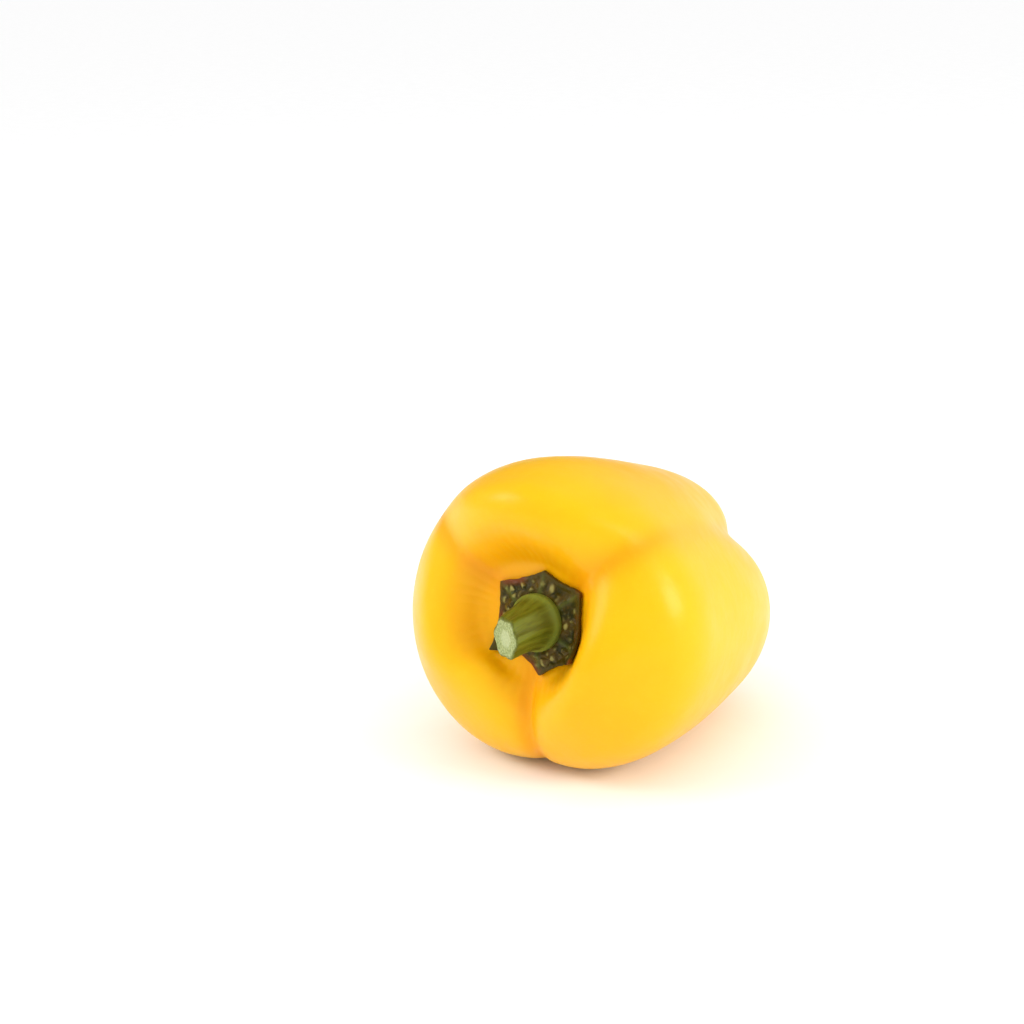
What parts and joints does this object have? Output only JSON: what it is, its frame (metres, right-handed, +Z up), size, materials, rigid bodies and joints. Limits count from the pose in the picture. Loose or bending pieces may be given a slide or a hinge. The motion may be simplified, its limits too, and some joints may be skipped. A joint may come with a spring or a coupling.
{
  "type": "bell pepper",
  "caption": "Whole yellow bell pepper lying on its side, with rounded lobes, a green toothed calyx and a short cut stem.",
  "frame": {"origin": "on the ground, under the middle of the whole pepper's box as it lies", "axes": "+Z up, away from the ground; +Y from the stem end towards the blossom end; +X to the right, seen from the stem end"},
  "size_m": [0.09, 0.112, 0.0838],
  "materials": {
    "fruit_skin": "smooth waxy skin with a soft gloss",
    "calyx_green": "dark green to brown, finely wrinkled, slightly shiny",
    "stem_green": "green and lightly ribbed, with a pale fibrous cut face"
  },
  "bodies": {
    "root": {"fruit": "fruit_skin", "calyx": "calyx_green", "stem": "stem_green"}
  },
  "joints": []
}
